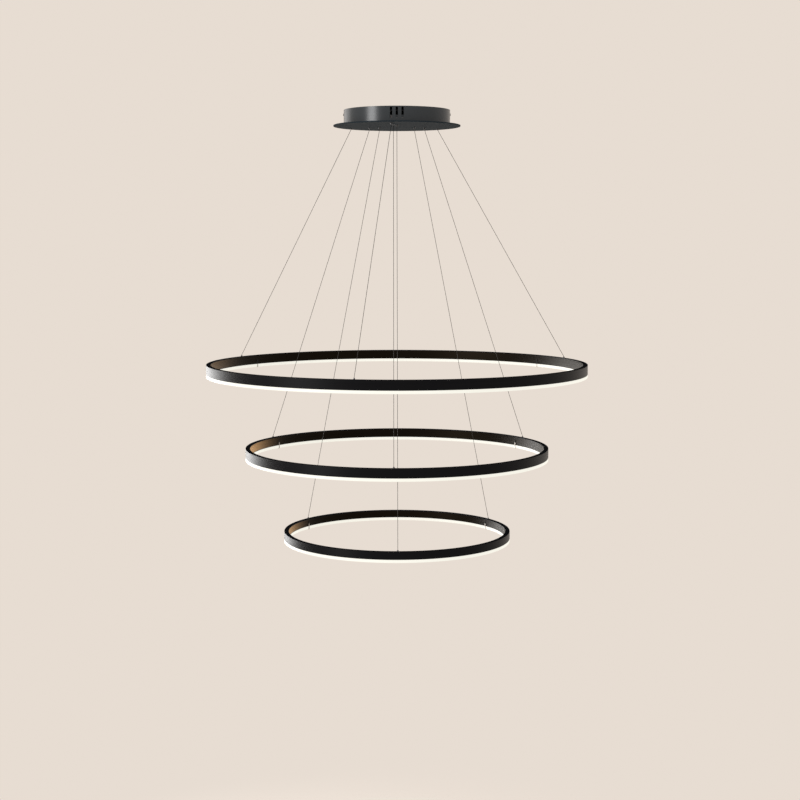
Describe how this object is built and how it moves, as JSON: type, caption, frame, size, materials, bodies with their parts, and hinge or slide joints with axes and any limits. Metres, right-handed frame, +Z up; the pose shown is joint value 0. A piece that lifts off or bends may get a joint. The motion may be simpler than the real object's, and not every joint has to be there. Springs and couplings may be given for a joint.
{
  "type": "ring chandelier",
  "caption": "Black light rings of falling size hung level, one under the other, by thin steel wires that fan out from a round ceiling canopy.",
  "frame": {"origin": "centre of the bracket's top face, which lies against the ceiling", "axes": "+Z up, out of the ceiling; +X along the bracket; the canopy's vents face -Y"},
  "size_m": [0.9999, 1, 1.1318],
  "materials": {
    "canopy_black": "gloss black paint",
    "ring_black": "satin black anodised",
    "opal": "opal, lit warm white",
    "wire_steel": "twisted stainless strand",
    "black_nickel": "black nickel plate",
    "clip_steel": "spring steel",
    "black_zinc": "black zinc plate",
    "brass": "plain",
    "terminal_plastic": "natural nylon",
    "driver_plastic": "moulded black",
    "board_white": "white solder mask"
  },
  "bodies": {
    "canopy": {"ceiling_bracket": "black_zinc", "side_screws": "canopy_black", "earth_screw": "brass", "terminal_block": "terminal_plastic", "canopy_drum": "canopy_black", "bottom_disc": "canopy_black", "led_driver_1": "driver_plastic", "led_driver_2": "driver_plastic", "led_driver_3": "driver_plastic", "wire_grippers": "black_nickel", "wire_1a": "wire_steel", "wire_1b": "wire_steel", "wire_1c": "wire_steel", "wire_2a": "wire_steel", "wire_2b": "wire_steel", "wire_2c": "wire_steel", "wire_3a": "wire_steel", "wire_3b": "wire_steel", "wire_3c": "wire_steel"},
    "ring_1": {"ring_1_profile": "ring_black", "ring_1_diffuser": "opal", "ring_1_led_boards": "board_white", "ring_1_wire_anchors": "black_nickel", "ring_1_diffuser_clips": "clip_steel"},
    "ring_2": {"ring_2_profile": "ring_black", "ring_2_diffuser": "opal", "ring_2_led_boards": "board_white", "ring_2_wire_anchors": "black_nickel", "ring_2_diffuser_clips": "clip_steel"},
    "ring_3": {"ring_3_profile": "ring_black", "ring_3_diffuser": "opal", "ring_3_led_boards": "board_white", "ring_3_wire_anchors": "black_nickel", "ring_3_diffuser_clips": "clip_steel"},
    "plunger_1a": {"plunger_1a": "black_nickel"},
    "plunger_1b": {"plunger_1b": "black_nickel"},
    "plunger_1c": {"plunger_1c": "black_nickel"},
    "plunger_2a": {"plunger_2a": "black_nickel"},
    "plunger_2b": {"plunger_2b": "black_nickel"},
    "plunger_2c": {"plunger_2c": "black_nickel"},
    "plunger_3a": {"plunger_3a": "black_nickel"},
    "plunger_3b": {"plunger_3b": "black_nickel"},
    "plunger_3c": {"plunger_3c": "black_nickel"}
  },
  "joints": [
    {"name": "ring_1_height", "type": "slide", "parent": "canopy", "child": "ring_1", "axis": [0, 0, 1], "range_m": [0, 0.3], "deforming": ["wire_1a", "wire_1b", "wire_1c"]},
    {"name": "ring_2_height", "type": "slide", "parent": "canopy", "child": "ring_2", "axis": [0, 0, 1], "range_m": [0, 0.3], "deforming": ["wire_2a", "wire_2b", "wire_2c"]},
    {"name": "ring_3_height", "type": "slide", "parent": "canopy", "child": "ring_3", "axis": [0, 0, 1], "range_m": [0, 0.3], "deforming": ["wire_3a", "wire_3b", "wire_3c"]},
    {"name": "release_1a", "type": "slide", "parent": "canopy", "child": "plunger_1a", "axis": [0, 0, 1], "range_m": [0, 0.0015], "stiffness_N_per_m": 800, "springref_m": -0.002},
    {"name": "release_1b", "type": "slide", "parent": "canopy", "child": "plunger_1b", "axis": [0, 0, 1], "range_m": [0, 0.0015], "stiffness_N_per_m": 800, "springref_m": -0.002},
    {"name": "release_1c", "type": "slide", "parent": "canopy", "child": "plunger_1c", "axis": [0, 0, 1], "range_m": [0, 0.0015], "stiffness_N_per_m": 800, "springref_m": -0.002},
    {"name": "release_2a", "type": "slide", "parent": "canopy", "child": "plunger_2a", "axis": [0, 0, 1], "range_m": [0, 0.0015], "stiffness_N_per_m": 800, "springref_m": -0.002},
    {"name": "release_2b", "type": "slide", "parent": "canopy", "child": "plunger_2b", "axis": [0, 0, 1], "range_m": [0, 0.0015], "stiffness_N_per_m": 800, "springref_m": -0.002},
    {"name": "release_2c", "type": "slide", "parent": "canopy", "child": "plunger_2c", "axis": [0, 0, 1], "range_m": [0, 0.0015], "stiffness_N_per_m": 800, "springref_m": -0.002},
    {"name": "release_3a", "type": "slide", "parent": "canopy", "child": "plunger_3a", "axis": [0, 0, 1], "range_m": [0, 0.0015], "stiffness_N_per_m": 800, "springref_m": -0.002},
    {"name": "release_3b", "type": "slide", "parent": "canopy", "child": "plunger_3b", "axis": [0, 0, 1], "range_m": [0, 0.0015], "stiffness_N_per_m": 800, "springref_m": -0.002},
    {"name": "release_3c", "type": "slide", "parent": "canopy", "child": "plunger_3c", "axis": [0, 0, 1], "range_m": [0, 0.0015], "stiffness_N_per_m": 800, "springref_m": -0.002}
  ]
}
